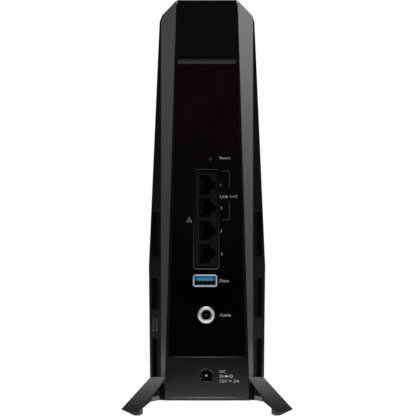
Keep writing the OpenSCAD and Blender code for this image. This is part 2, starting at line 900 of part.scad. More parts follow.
// Flat ribbon from the main board's edge to the light board
module led_ribbon() {
    color([0.85, 0.85, 0.82]) translate([0, 0, led_first_z + 20]) linear_extrude(10) polygon([
        [board_face_x + 0.1, 50], [board_face_x + 0.5, 50], [board_face_x + 0.5, 60], [-3, led_y - 0.5],
        [4, led_y - 0.5], [4, led_y - 0.1], [-3.2, led_y - 0.1], [board_face_x + 0.1, 60.2]
    ]);
}

rear_frame();
io_panel();
left_side_panel();
right_side_panel();
rear_left_trim();
rear_right_trim();
front_left_trim();
front_right_trim();
front_panel();
top_grille();
base_tray();
left_vent_grille();
right_vent_grille();
left_stand();
right_stand();
foot_pads();
stand_screws();
base_screws();
rating_plate();
reset_button();
reset_switch();
pairing_button();
wireless_button();
button_board();
pairing_switch();
wireless_switch();
lan_housing();
lan_contacts();
usb_shell();
usb_core();
usb_contacts();
coax_barrel();
coax_insulator();
coax_contact();
power_jack();
power_pin();
power_spring();
chassis();
main_board();
board_screws();
lan_magnetics();
tuner_shield();
processor_shield();
thermal_pad();
main_heatsink();
memory_chips();
capacitors();
inductors();
wifi_board();
wifi_spacers();
wifi_shield();
wifi_heatsink();
antennas();
antenna_pads();
antenna_leads();
led_board();
status_leds();
light_guide();
led_ribbon();
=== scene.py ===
import json
import math
import random

import bmesh
import bpy
from mathutils import Matrix, Vector


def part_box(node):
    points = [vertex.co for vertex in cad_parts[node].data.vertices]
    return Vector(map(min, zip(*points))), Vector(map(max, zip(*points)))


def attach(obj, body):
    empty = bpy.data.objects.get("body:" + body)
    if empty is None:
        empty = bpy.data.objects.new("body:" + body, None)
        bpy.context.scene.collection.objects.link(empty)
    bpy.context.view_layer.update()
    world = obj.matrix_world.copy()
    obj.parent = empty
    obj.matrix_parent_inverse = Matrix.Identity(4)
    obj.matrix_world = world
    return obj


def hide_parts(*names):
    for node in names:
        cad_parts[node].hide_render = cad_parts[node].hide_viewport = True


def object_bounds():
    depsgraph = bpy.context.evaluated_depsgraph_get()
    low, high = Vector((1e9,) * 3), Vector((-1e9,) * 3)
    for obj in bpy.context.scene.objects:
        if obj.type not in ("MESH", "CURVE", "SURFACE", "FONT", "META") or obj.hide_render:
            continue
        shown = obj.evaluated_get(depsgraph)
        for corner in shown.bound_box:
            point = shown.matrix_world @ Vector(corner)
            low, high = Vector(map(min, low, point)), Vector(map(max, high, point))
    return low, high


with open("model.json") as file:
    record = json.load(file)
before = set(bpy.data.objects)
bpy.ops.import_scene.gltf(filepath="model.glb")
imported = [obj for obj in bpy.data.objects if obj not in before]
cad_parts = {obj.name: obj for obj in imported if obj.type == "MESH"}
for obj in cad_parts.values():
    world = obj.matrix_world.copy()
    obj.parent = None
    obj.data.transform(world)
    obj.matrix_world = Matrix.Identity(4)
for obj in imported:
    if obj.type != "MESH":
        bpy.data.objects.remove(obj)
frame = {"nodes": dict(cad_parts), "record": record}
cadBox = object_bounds()
nodes = frame["nodes"]
scene = bpy.context.scene
mm = 0.001
print("stage: frame loaded with", len(nodes), "nodes")

# ---- where things are, from the frame ----

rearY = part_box("rear_frame")[0].y
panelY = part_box("io_panel")[0].y + 0.5 * mm  # the raised rim stands 0.5 mm ahead of the panel
overallHeight = cadBox[1].z


# middle of a CAD node's box
def middle(node):
    low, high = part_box(node)
    return (low + high) / 2


# ---- materials ----

# a Principled material, with constants set straight on its sockets
def newMaterial(name, color, roughness, metallic=0.0, sockets=None):
    material = bpy.data.materials.new(name)
    material.use_nodes = True
    shader = material.node_tree.nodes["Principled BSDF"]
    shader.inputs["Base Color"].default_value = (*color, 1)
    shader.inputs["Roughness"].default_value = roughness
    shader.inputs["Metallic"].default_value = metallic
    for socket, value in (sockets or {}).items():
        shader.inputs[socket].default_value = value
    return material


# a new node, its sockets set to values or wired to the outputs given for them
def addNode(material, kind, values=None, **settings):
    node = material.node_tree.nodes.new(kind)
    for key, value in settings.items():
        setattr(node, key, value)
    for socket, value in (values or {}).items():
        if isinstance(value, bpy.types.NodeSocket):
            material.node_tree.links.new(value, node.inputs[socket])
        else:
            node.inputs[socket].default_value = value
    return node


def wire(material, source, target):
    material.node_tree.links.new(source, target)


def shaderOf(material):
    return material.node_tree.nodes["Principled BSDF"]


# wires an output to one of the Principled shader's sockets
def feed(material, socket, value):
    wire(material, value, shaderOf(material).inputs[socket])


# object coordinates, stretched by a scale for each axis
def objectCoordinates(material, stretch=(1, 1, 1), turn=(0, 0, 0)):
    place = addNode(material, "ShaderNodeTexCoord").outputs["Object"]
    values = {"Vector": place, "Scale": stretch, "Rotation": turn}
    return addNode(material, "ShaderNodeMapping", values).outputs["Vector"]


def noiseOf(material, vector, scale, detail=3.0, roughness=0.55):
    values = {"Vector": vector, "Scale": scale, "Detail": detail, "Roughness": roughness}
    return addNode(material, "ShaderNodeTexNoise", values).outputs["Fac"]


def remap(material, value, low, high, fromLow=0.3, fromHigh=0.7):
    values = {
        "Value": value, "From Min": fromLow, "From Max": fromHigh, "To Min": low, "To Max": high,
    }
    return addNode(material, "ShaderNodeMapRange", values).outputs["Result"]


# a mix of two colours, by socket number: its colour sockets share names with the float ones
def blendColors(material, factor, colorA, colorB):
    values = {0: factor, 6: (*colorA, 1), 7: (*colorB, 1)}
    return addNode(material, "ShaderNodeMix", values, data_type="RGBA").outputs[2]


def addBump(material, height, strength, distance):
    values = {"Height": height, "Strength": strength, "Distance": distance}
    normal = shaderOf(material).inputs["Normal"]
    if normal.is_linked:
        values["Normal"] = normal.links[0].from_socket
    feed(material, "Normal", addNode(material, "ShaderNodeBump", values).outputs["Normal"])


# the object coordinates as separate X, Y and Z outputs
def objectAxes(material):
    return addNode(material, "ShaderNodeSeparateXYZ", {"Vector": objectCoordinates(material)}).outputs


# multiplies the base colour by a value
def tintBy(material, fade):
    before = shaderOf(material).inputs["Base Color"].links[0].from_socket
    values = {0: before, "Scale": fade}
    tint = addNode(material, "ShaderNodeVectorMath", values, operation="SCALE")
    feed(material, "Base Color", tint.outputs["Vector"])


# arithmetic on one output, or on an output and a number or second output
def maths(material, operation, *inputs):
    values = dict(enumerate(inputs))
    return addNode(material, "ShaderNodeMath", values, operation=operation).outputs[0]


# scales the base colour from low to high between two places along one axis
def shadeAlong(material, axis, fromPlace, toPlace, low, high, power=1.0, mirrored=False):
    along = objectAxes(material)[axis]
    if mirrored:
        along = maths(material, "ABSOLUTE", along)
    curve = maths(material, "POWER", remap(material, along, 0, 1, fromPlace, toPlace), power)
    tintBy(material, remap(material, curve, low, high, 0, 1))


# a moulded or plated finish: fine grain in the bump, wider patches in roughness and colour
def grainedMaterial(name, look):
    sockets = {"Specular IOR Level": look.get("specular", 0.5)}
    material = newMaterial(
        name, look["color"], look["roughness"], look.get("metallic", 0.0), sockets
    )
    vector = objectCoordinates(material, look.get("stretch", (1, 1, 1)))
    grain = noiseOf(material, vector, look["grain"], 4.0)
    patches = noiseOf(material, vector, look["patches"], 3.0)
    rough, spread = look["roughness"], look["spread"]
    feed(material, "Roughness", remap(material, patches, rough - spread, rough + spread))
    shade = look.get("shade", 0.82)
    darker = tuple(c * shade for c in look["color"])
    lighter = tuple(min(1, c * (2 - shade)) for c in look["color"])
    factor = remap(material, patches, 0, 1)
    feed(material, "Base Color", blendColors(material, factor, darker, lighter))
    addBump(material, grain, look["bump"], look["depth"])
    return material


# finishes that need nothing beyond grain and patches
plainLooks = {
    "glossBlack": {
        "color": (0.0046, 0.0032, 0.0036), "roughness": 0.16, "spread": 0.035,
        "grain": 900, "patches": 45, "bump": 0.02, "depth": 0.00003, "shade": 0.85,
        "specular": 0.5,
    },
    "satinBlack": {
        "color": (0.005, 0.0036, 0.0041), "roughness": 0.46, "spread": 0.05,
        "grain": 5200, "patches": 70, "bump": 0.16, "depth": 0.00005,
        "specular": 0.05,
    },
    "footRubber": {
        "color": (0.07, 0.067, 0.068), "roughness": 0.82, "spread": 0.08,
        "grain": 6500, "patches": 300, "bump": 0.3, "depth": 0.00008,
    },
    "nickelPlate": {
        "color": (0.78, 0.77, 0.75), "roughness": 0.2, "spread": 0.06, "metallic": 1.0,
        "grain": 5000, "patches": 500, "bump": 0.05, "depth": 0.00002, "shade": 0.93,
    },
    "zincPlate": {
        "color": (0.52, 0.53, 0.54), "roughness": 0.34, "spread": 0.08, "metallic": 1.0,
        "grain": 4200, "patches": 420, "bump": 0.1, "depth": 0.00003, "shade": 0.88,
    },
    "tinnedSteel": {
        "color": (0.6, 0.6, 0.585), "roughness": 0.38, "spread": 0.09, "metallic": 1.0,
        "grain": 2600, "patches": 160, "bump": 0.08, "depth": 0.00004, "shade": 0.86,
        "stretch": (1, 1, 0.12),
    },
    "milledAluminium": {
        "color": (0.66, 0.67, 0.68), "roughness": 0.4, "spread": 0.07, "metallic": 1.0,
        "grain": 3000, "patches": 120, "bump": 0.12, "depth": 0.00003, "shade": 0.9,
        "stretch": (1, 0.05, 1),
    },
    "goldFlash": {
        "color": (0.83, 0.58, 0.24), "roughness": 0.22, "spread": 0.05, "metallic": 1.0,
        "grain": 9000, "patches": 900, "bump": 0.04, "depth": 0.00001, "shade": 0.9,
    },
    "turnedBrass": {
        "color": (0.72, 0.54, 0.27), "roughness": 0.3, "spread": 0.07, "metallic": 1.0,
        "grain": 3500, "patches": 300, "bump": 0.08, "depth": 0.00002, "shade": 0.86,
        "stretch": (0.1, 1, 1),
    },
    "closedCellFoam": {
        "color": (0.03, 0.03, 0.031), "roughness": 0.9, "spread": 0.05,
        "grain": 2200, "patches": 400, "bump": 0.9, "depth": 0.0002, "shade": 0.6,
    },
    "gapPad": {
        "color": (0.22, 0.3, 0.4), "roughness": 0.7, "spread": 0.05,
        "grain": 3000, "patches": 250, "bump": 0.25, "depth": 0.00006,
    },
    "labelFilm": {
        "color": (0.55, 0.55, 0.54), "roughness": 0.38, "spread": 0.05,
        "grain": 2500, "patches": 120, "bump": 0.05, "depth": 0.00002, "shade": 0.95,
    },
    "ceramicParts": {
        "color": (0.17, 0.12, 0.075), "roughness": 0.4, "spread": 0.08,
        "grain": 6000, "patches": 420, "bump": 0.15, "depth": 0.00003, "shade": 0.35,
    },
}


def plainFinish(name):
    return grainedMaterial(name, plainLooks[name])


# the port panel is the dullest moulding, with painted shade: a little paler towards its top and
# darker lower down
def portPanelFinish():
    look = {
        "color": (0.0038, 0.0023, 0.0028), "roughness": 0.5, "spread": 0.05,
        "grain": 5200, "patches": 70, "bump": 0.16, "depth": 0.00005,
        "specular": 0.02,
    }
    material = grainedMaterial("portPanelBlack", look)
    # painted shade: darker towards the panel's bottom, paler towards its top
    shadeAlong(material, "Z", 80 * mm, 200 * mm, 0.25, 2.1)
    return material


# metallic paint over upright brushing, with painted shadow and painted light along its height
def gunmetalFinish():
    material = newMaterial(
        "gunmetalPaint", (0.17, 0.163, 0.166), 0.36, 0.82, {"Specular IOR Level": 0.45}
    )
    streaks = noiseOf(material, objectCoordinates(material, (1, 1, 0.035)), 2400, 3.0, 0.7)
    flakes = noiseOf(material, objectCoordinates(material), 14000, 1.0)
    clouds = noiseOf(material, objectCoordinates(material, (1, 1, 0.35)), 55, 2.0)
    feed(material, "Roughness", remap(material, streaks, 0.29, 0.36))
    mild = maths(material, "MULTIPLY", flakes, 0.25)
    both = maths(material, "MULTIPLY_ADD", streaks, 0.75, mild)
    factor = remap(material, both, 0, 1, 0.36, 0.64)
    darker, lighter = (0.155, 0.148, 0.151), (0.188, 0.179, 0.182)
    feed(material, "Base Color", blendColors(material, factor, darker, lighter))
    # painted shadow: the trim goes dark below about 20 mm, where the stand shades it
    shadeAlong(material, "Z", 19 * mm, 21.5 * mm, 0.1, 1.0)
    # painted light from the pale floor: paler from 50 mm down to the stand
    shadeAlong(material, "Z", 24 * mm, 50 * mm, 1.9, 1.0)
    # a little darker towards the top
    shadeAlong(material, "Z", 215 * mm, 250 * mm, 1.0, 0.85)
    addBump(material, streaks, 0.025, 0.00003)
    addBump(material, clouds, 0.02, 0.0002)
    return material


# painted metal, with painted shade: pale at the body, dark at the feet
def standFinish():
    look = {
        "color": (0.062, 0.060, 0.061), "roughness": 0.42, "spread": 0.06,
        "grain": 4200, "patches": 1100, "bump": 0.12, "depth": 0.00004, "shade": 0.72,
        "metallic": 0.25, "specular": 0.4,
    }
    material = grainedMaterial("standGrey", look)
    # painted shade: darker down the legs towards the feet
    shadeAlong(material, "Z", 3 * mm, 24 * mm, 0.02, 2.4, 1.5)
    return material


# bright nickel with a frosted bloom, so it stays pale all round
def frostedNickelFinish(name, metallic, color=(0.9, 0.9, 0.89)):
    look = {
        "color": color, "roughness": 0.38, "spread": 0.08, "metallic": metallic,
        "grain": 5200, "patches": 620, "bump": 0.08, "depth": 0.00002, "shade": 0.92,
    }
    return grainedMaterial(name, look)


portSteelSet = {"rim": 0.95, "blur": 0.1, "insideShade": 0.12}


# pressed steel round the data port: a pale rim, with painted shade inside it
def portSteelFinish():
    material = frostedNickelFinish("portSteel", 0.55, (0.7, 0.78, 0.9))
    low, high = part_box("usb_shell")
    spot = (low + high) / 2
    rim, blur = portSteelSet["rim"] * mm, portSteelSet["blur"] * mm
    axes = objectAxes(material)
    sides = []
    for axis in (0, 2):
        away = maths(material, "ABSOLUTE", maths(material, "SUBTRACT", axes[axis], spot[axis]))
        half = (high[axis] - low[axis]) / 2 - rim
        sides.append(maths(material, "SUBTRACT", away, half))
    outer = maths(material, "MAXIMUM", *sides)
    # painted shade: the steel inside the rim is darkened
    tintBy(material, remap(material, outer, portSteelSet["insideShade"], 1.0, -blur, blur))
    return material


def nylonFinish(name, color, roughness=0.42, specular=0.5):
    look = {
        "color": color, "roughness": roughness, "spread": 0.06,
        "specular": specular,
        "grain": 7000, "patches": 500, "bump": 0.12, "depth": 0.00003, "shade": 0.85,
    }
    return grainedMaterial(name, look)


# bright blue moulding, with painted light near its mouth: a faint emission that fades into the socket
def portBlueFinish():
    material = nylonFinish("portBlue", (0.01, 0.15, 0.33), 0.36)
    # painted light: emission on the moulding near the port's mouth
    shaderOf(material).inputs["Emission Color"].default_value = (0.012, 0.14, 0.3, 1)
    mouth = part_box("usb_core")[0].y
    glow = remap(material, objectAxes(material)["Y"], 0.8, 0.0, mouth, mouth + 4 * mm)
    feed(material, "Emission Strength", glow)
    return material


def inkFinish(name, color):
    look = {
        "color": color, "roughness": 0.55, "spread": 0.05,
        "grain": 9000, "patches": 1500, "bump": 0.1, "depth": 0.00001, "shade": 0.8,
    }
    return grainedMaterial(name, look)


# the moulded bead round the network jack, paler than the panel, with a painted reflection: bright at
# its bottom and fading dark up its sides
def beadFinish():
    look = {
        "color": (0.085, 0.076, 0.071), "roughness": 0.34, "spread": 0.05,
        "grain": 5200, "patches": 300, "bump": 0.1, "depth": 0.00003,
    }
    material = grainedMaterial("beadSatin", look)
    low, high = [corner.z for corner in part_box("lan_housing")]
    # painted reflection of the floor: bright at the bead's bottom, dark higher up
    shadeAlong(material, "Z", low, low + 0.7 * (high - low), 1.0, 0.03, 0.6)
    return material


# moulded lip with a painted highlight: bright in the middle of its length, dark at its ends
def lipFinish(name, color, reach):
    look = {
        "color": color, "roughness": 0.4, "spread": 0.06,
        "grain": 5200, "patches": 240, "bump": 0.1, "depth": 0.00003,
        "specular": 0.1,
    }
    material = grainedMaterial(name, look)
    # painted highlight: fades from the middle towards both ends
    shadeAlong(material, "X", 0, reach * mm, 1.0, 0.08, mirrored=True)
    return material


# solder mask over copper: pale tracks in a brick pattern under a glossy green film
def boardFinish():
    material = newMaterial("solderMask", (0.012, 0.1, 0.045), 0.28, 0.0, {"Specular IOR Level": 0.5})
    vector = objectCoordinates(material, turn=(0, math.radians(90), 0))
    tracks = addNode(
        material, "ShaderNodeTexBrick",
        {
            "Vector": vector, "Scale": 260.0, "Mortar Size": 0.09, "Mortar Smooth": 0.2,
            "Brick Width": 1.7, "Row Height": 0.32,
        },
        offset=0.37, squash=0.8,
    )
    values = {"Vector": vector, "Scale": 420.0, "Randomness": 0.9}
    vias = addNode(material, "ShaderNodeTexVoronoi", values)
    holes = remap(material, vias.outputs["Distance"], 1, 0, 0.12, 0.17)
    grounds = noiseOf(material, vector, 130, 2.0)
    pour = remap(material, grounds, 0, 1, 0.48, 0.5)
    copper = maths(material, "MAXIMUM", tracks.outputs["Fac"], pour)
    green = blendColors(material, copper, (0.008, 0.07, 0.032), (0.02, 0.15, 0.062))
    values = {0: holes, 6: green, 7: (0.4, 0.36, 0.24, 1)}
    finish = addNode(material, "ShaderNodeMix", values, data_type="RGBA")
    feed(material, "Base Color", finish.outputs[2])
    feed(material, "Roughness", remap(material, grounds, 0.22, 0.36))
    addBump(material, copper, 0.25, 0.00004)
    addBump(material, holes, 0.3, 0.00003)
    return material


def ribbonFinish():
    material = newMaterial("ribbonFilm", (0.6, 0.6, 0.57), 0.4)
    vector = objectCoordinates(material)
    values = {"Vector": vector, "Scale": 320.0, "Distortion": 0.0, "Detail": 0.0}
    lanes = addNode(material, "ShaderNodeTexWave", values, bands_direction="Z")
    lane = remap(material, lanes.outputs["Fac"], 0, 1, 0.35, 0.65)
    feed(material, "Base Color", blendColors(material, lane, (0.62, 0.62, 0.6), (0.3, 0.31, 0.33)))
    fibres = noiseOf(material, vector, 2000, 2.0)
    feed(material, "Roughness", remap(material, fibres, 0.34, 0.48))
    addBump(material, lane, 0.3, 0.00006)
    return material


# the guide's clear posts, lit softly from behind
def clearFinish():
    material = newMaterial(
        "clearPolycarbonate", (0.86, 0.89, 0.92), 0.12, 0.0,
        {"Transmission Weight": 0.75, "IOR": 1.49},
    )
    haze = noiseOf(material, objectCoordinates(material), 400, 3.0)
    feed(material, "Roughness", remap(material, haze, 0.08, 0.2))
    cloud = remap(material, haze, 0, 1)
    feed(material, "Base Color", blendColors(material, cloud, (0.8, 0.84, 0.88), (0.9, 0.92, 0.94)))
    addBump(material, haze, 0.05, 0.00003)
    return material


def lampFinish():
    material = nylonFinish("lampWhite", (0.8, 0.78, 0.68), 0.35)
    shader = shaderOf(material)
    shader.inputs["Emission Color"].default_value = (0.75, 0.88, 1.0, 1)
    shader.inputs["Emission Strength"].default_value = 6.0
    return material


finishes = {
    "gloss_black": plainFinish("glossBlack"),
    "satin_black": plainFinish("satinBlack"),
    "inner_black": nylonFinish("chassisBlack", (0.012, 0.012, 0.012), 0.55),
    "corner_grey": gunmetalFinish(),
    "stand_grey": standFinish(),
    "foot_rubber": plainFinish("footRubber"),
    "screw_steel": plainFinish("zincPlate"),
    "label_stock": plainFinish("labelFilm"),
    "button_black": nylonFinish("buttonBlack", (0.014, 0.013, 0.014), 0.36),
    "button_grey": nylonFinish("buttonGrey", (0.02, 0.02, 0.021), 0.5),
    "switch_black": nylonFinish("switchBlack", (0.02, 0.02, 0.02), 0.45),
    "jack_black": nylonFinish("jackBlack", (0.0075, 0.0066, 0.007), 0.45, 0.12),
    "contact_gold": plainFinish("goldFlash"),
    "port_steel": portSteelFinish(),
    "port_blue": portBlueFinish(),
    "coax_nickel": frostedNickelFinish("coaxNickel", 0.78),
    "insulator_black": nylonFinish("insulatorBlack", (0.003, 0.003, 0.003), 0.6, 0.03),
    "board_green": boardFinish(),
    "shield_tin": plainFinish("tinnedSteel"),
    "pad_grey": plainFinish("gapPad"),
    "heatsink_aluminium": plainFinish("milledAluminium"),
    "chip_black": nylonFinish("chipEpoxy", (0.014, 0.014, 0.015), 0.48),
    "capacitor_sleeve": nylonFinish("capacitorSleeve", (0.012, 0.014, 0.03), 0.3),
    "spacer_brass": plainFinish("turnedBrass"),
    "foam": plainFinish("closedCellFoam"),
    "lead_jacket": nylonFinish("leadJacket", (0.012, 0.012, 0.012), 0.5),
    "led_white": lampFinish(),
    "clear_plastic": clearFinish(),
    "ribbon_white": ribbonFinish(),
}
legendInk = inkFinish("legendInk", (0.55, 0.545, 0.54))
pinNickel = plainFinish("nickelPlate")
# near-black material for painted shade on the stands' inner faces
standPaintedShade = nylonFinish("standPaintedShade", (0.012, 0.0105, 0.011), 0.6, 0.1)
dullBrass = nylonFinish("dullBrass", (0.05, 0.04, 0.025), 0.5, 0.2)
# near-black brass: painted shade on the network jack's contacts
shadedSocketBrass = nylonFinish("shadedSocketBrass", (0.035, 0.03, 0.018), 0.45, 0.3)
iconInk = inkFinish("iconInk", (0.34, 0.335, 0.33))
lineInk = inkFinish("lineInk", (0.1, 0.098, 0.097))
plateInk = inkFinish("plateInk", (0.03, 0.03, 0.032))
for part in frame["record"]["subparts"]:
    mesh = nodes[part["node"]].data
    mesh.materials.clear()
    mesh.materials.append(finishes[part["material_slot"]])
nodes["coax_contact"].data.materials[0] = dullBrass
slotOf = {part["node"]: part["material_slot"] for part in frame["record"]["subparts"]}
print("stage: materials made,", len(finishes) + 1)

# ---- making pieces ----


# puts a finished shape in the scene, riding on its body
def finishPiece(shape, name, slotName, body="modem", replaced=(), material=None, sharpAngle=35):
    mesh = bpy.data.meshes.new(name)
    shape.to_mesh(mesh)
    shape.free()
    mesh.materials.clear()
    mesh.materials.append(material or finishes[slotName])
    mesh.shade_smooth()
    mesh.set_sharp_from_angle(angle=math.radians(sharpAngle))
    piece = bpy.data.objects.new(name, mesh)
    scene.collection.objects.link(piece)
    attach(piece, body)
    if replaced:
        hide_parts(*replaced)
    return piece


# puts a finished shape in a CAD node's place
def replaceNode(shape, name, node, material=None, sharpAngle=35):
    return finishPiece(
        shape, name, slotOf[node], replaced=(node,), material=material, sharpAngle=sharpAngle
    )


# a copy of a CAD node's mesh, its triangles merged into whole flat faces
def mergedCopy(node):
    shape = bmesh.new()
    shape.from_mesh(nodes[node].data)
    bmesh.ops.remove_doubles(shape, verts=shape.verts, dist=2e-6)
    bmesh.ops.dissolve_limit(
        shape, angle_limit=math.radians(0.5), verts=shape.verts, edges=shape.edges
    )
    return shape


# a CAD node with rounded edges, in place of the sharp one
def softened(node, width, segments=2, body="modem", material=None):
    piece = finishPiece(mergedCopy(node), node + "_soft", slotOf[node], body, (node,), material)
    bevel = piece.modifiers.new("edges", "BEVEL")
    bevel.width = width * mm
    bevel.segments = segments
    bevel.limit_method = "ANGLE"
    bevel.angle_limit = math.radians(32)
    even = piece.modifiers.new("normals", "WEIGHTED_NORMAL")
    even.weight = 100
    even.keep_sharp = True
    return piece


insideSet = {"inward": -0.3, "endFacing": 0.8, "railReach": 85}


# the faces of a stand that look inwards, and its rails' ends, get painted shade: a near-black
# material
def darkenInside(piece, side):
    look = insideSet
    piece.data.materials.append(standPaintedShade)
    for face in piece.data.polygons:
        facing, away = abs(face.normal.y), abs(face.center.y)
        railEnd = facing > look["endFacing"] and away < look["railReach"] * mm
        if face.normal.x * side < look["inward"] or railEnd:
            face.material_index = 1


softEdges = {
    "rear_frame": (0.25, 3), "front_panel": (0.5, 3), "io_panel": (0.22, 3),
    "left_side_panel": (0.35, 3), "right_side_panel": (0.35, 3),
    "rear_left_trim": (0.9, 4), "rear_right_trim": (0.9, 4),
    "front_left_trim": (0.9, 4), "front_right_trim": (0.9, 4),
    "top_grille": (0.25, 2), "base_tray": (0.25, 2),
    "left_vent_grille": (0.12, 1), "right_vent_grille": (0.12, 1),
    "left_stand": (0.6, 3), "right_stand": (0.6, 3), "foot_pads": (0.4, 3),
    "rating_plate": (0.05, 1), "stand_screws": (0.15, 2), "base_screws": (0.15, 2),
    "board_screws": (0.15, 2), "lan_housing": (0.12, 2), "power_jack": (0.15, 2),
    "main_heatsink": (0.2, 2), "wifi_heatsink": (0.15, 2), "tuner_shield": (0.2, 2),
    "processor_shield": (0.2, 2), "wifi_shield": (0.2, 2), "lan_magnetics": (0.2, 2),
    "memory_chips": (0.1, 2), "inductors": (0.5, 2), "chassis": (0.2, 1),
    "thermal_pad": (0.15, 2), "antenna_pads": (0.3, 2), "reset_switch": (0.15, 2),
    "pairing_switch": (0.15, 2), "wireless_switch": (0.15, 2), "light_guide": (0.2, 2),
    "status_leds": (0.12, 2), "usb_shell": (0.28, 2), "usb_core": (0.1, 2),
}
standSides = {"left_stand": -1, "right_stand": 1}
ownFinish = {"io_panel": portPanelFinish()}
for node, (width, segments) in softEdges.items():
    piece = softened(node, width, segments, material=ownFinish.get(node))
    if node in standSides:
        darkenInside(piece, standSides[node])
keyBodies = {
    "reset_button": "reset_key", "pairing_button": "pairing_key", "wireless_button": "wireless_key",
}
for node, body in keyBodies.items():
    softened(node, 0.25, 3, body)
print("stage: mouldings softened,", len(softEdges) + len(keyBodies))

# ---- helpers for new pieces ----


# closed shape turned about local Z from (radius, along) pairs in millimetres
def turned(profile, steps=64, looped=False):
    shape = bmesh.new()
    points = [shape.verts.new((radius * mm, 0, along * mm)) for radius, along in profile]
    edges = [shape.edges.new(pair) for pair in zip(points, points[1:])]
    if looped:
        edges.append(shape.edges.new((points[-1], points[0])))
    bmesh.ops.spin(
        shape, geom=points + edges, cent=(0, 0, 0), axis=(0, 0, 1),
        angle=math.tau, steps=steps, use_merge=True,
    )
    tidied(shape)
    return shape


def tidied(shape):
    bmesh.ops.remove_doubles(shape, verts=shape.verts, dist=1e-7)
    bmesh.ops.recalc_face_normals(shape, faces=shape.faces)


# local +Z turned to face the viewer of the ports, or along +X
facingRear = Matrix.Rotation(math.radians(90), 4, "X")
facingRight = Matrix.Rotation(math.radians(90), 4, "Y")


# adds one shape to another, turned and then moved
def join(shape, part, place=(0, 0, 0), turn=None):
    part.transform(Matrix.Translation(place) @ (turn or Matrix.Identity(4)))
    joined = bpy.data.meshes.new("joined")
    part.to_mesh(joined)
    part.free()
    shape.from_mesh(joined)
    bpy.data.meshes.remove(joined)


# block between two corners, its edges rounded by a radius
def roundedBlock(low, high, radius, segments=2):
    shape = bmesh.new()
    bmesh.ops.create_cube(shape, size=1)
    size = Vector(high) - Vector(low)
    bmesh.ops.scale(shape, vec=size, verts=shape.verts)
    bmesh.ops.translate(shape, vec=Vector(low) + size / 2, verts=shape.verts)
    if radius:
        bmesh.ops.bevel(
            shape, geom=shape.edges[:], offset=radius, segments=segments, profile=0.5,
            affect="EDGES", material=-1,
        )
    return shape


# round wire through points, as a closed tube; handles are given for a Bezier route
def wireTube(points, radius, handles=None, closed=False, sides=2):
    data = bpy.data.curves.new("route", "CURVE")
    data.dimensions = "3D"
    data.bevel_depth = radius
    data.bevel_resolution = sides
    data.use_fill_caps = True
    data.resolution_u = 24
    if handles:
        spline = data.splines.new("BEZIER")
        spline.bezier_points.add(len(points) - 1)
        for knot, point, (before, after) in zip(spline.bezier_points, points, handles):
            knot.co = point
            knot.handle_left = before
            knot.handle_right = after
    else:
        spline = data.splines.new("POLY")
        spline.points.add(len(points) - 1)
        for knot, point in zip(spline.points, points):
            knot.co = (*point, 1)
        spline.use_cyclic_u = closed
    return meshOfCurve(data)


def meshOfCurve(data):
    holder = bpy.data.objects.new("route", data)
    mesh = bpy.data.meshes.new_from_object(holder)
    shape = bmesh.new()
    shape.from_mesh(mesh)
    bpy.data.objects.remove(holder)
    bpy.data.curves.remove(data)
    bpy.data.meshes.remove(mesh)
    tidied(shape)
    return shape


# middle and size of each separate solid in a CAD node
def islandBoxes(node):
    shape = bmesh.new()
    shape.from_mesh(nodes[node].data)
    bmesh.ops.remove_doubles(shape, verts=shape.verts, dist=1e-6)
    left = set(shape.verts)
    boxes = []
    while left:
        reached = [left.pop()]
        for vert in reached:
            for edge in vert.link_edges:
                other = edge.other_vert(vert)
                if other in left:
                    left.remove(other)
                    reached.append(other)
        low = Vector([min(vert.co[i] for vert in reached) for i in range(3)])
        high = Vector([max(vert.co[i] for vert in reached) for i in range(3)])
        boxes.append((low, high))
    shape.free()
    return sorted(boxes, key=lambda box: tuple(round(c, 5) for c in box[0]))


# ---- coaxial connector: threaded nickel barrel, funnel mouth and insulator ----

coaxSet = {
    "core": 4.3, "crest": 4.7625, "pitch": 0.794, "thread": (1.1, 8.5), "mouth": 4.1, "bore": 3.0,
    "collar": 5.2, "collarReach": 1.4, "tip": 9.2, "back": -2.3, "insulatorTip": 5.6,
}


def makeCoax():
    look = coaxSet
    at = Vector((middle("coax_insulator").x, panelY, middle("coax_insulator").z))
    shape = mergedCopy("coax_barrel")
    everything = shape.verts[:] + shape.edges[:] + shape.faces[:]
    cutPoint = (0, panelY + 2.1 * mm, 0)
    bmesh.ops.bisect_plane(
        shape, geom=everything, plane_co=cutPoint, plane_no=(0, -1, 0), clear_outer=True
    )
    bmesh.ops.holes_fill(shape, edges=[e for e in shape.edges if e.is_boundary], sides=0)
    rim, tip, collar = look["crest"], look["tip"], look["collar"]
    reach = look["collarReach"]
    core = turned([
        (look["bore"], tip - 1.4), (look["mouth"] - 0.1, tip - 0.08), (look["mouth"], tip),
        (look["mouth"] + 0.14, tip), (rim - 0.22, tip - 0.16), (rim - 0.06, tip - 0.36),
        (rim, tip - 0.6), (look["core"], tip - 0.85), (look["core"], reach), (collar - 0.35, reach),
        (collar - 0.12, reach - 0.08), (collar, reach - 0.3), (collar, look["back"]),
        (look["bore"], look["back"]),
    ], 96, looped=True)
    join(shape, core, at, facingRear)
    join(shape, helix(look), at, facingRear)
    replaceNode(shape, "coaxBarrel", "coax_barrel", sharpAngle=28)
    front, back = look["insulatorTip"], look["back"] - 7
    insulator = turned([
        (0.75, front - 0.5), (1.25, front), (look["bore"] - 0.3, front),
        (look["bore"] - 0.03, front - 0.27), (look["bore"] - 0.03, back), (0.75, back),
    ], 48, looped=True)
    plug = bmesh.new()
    join(plug, insulator, at, facingRear)
    replaceNode(plug, "coaxInsulator", "coax_insulator")


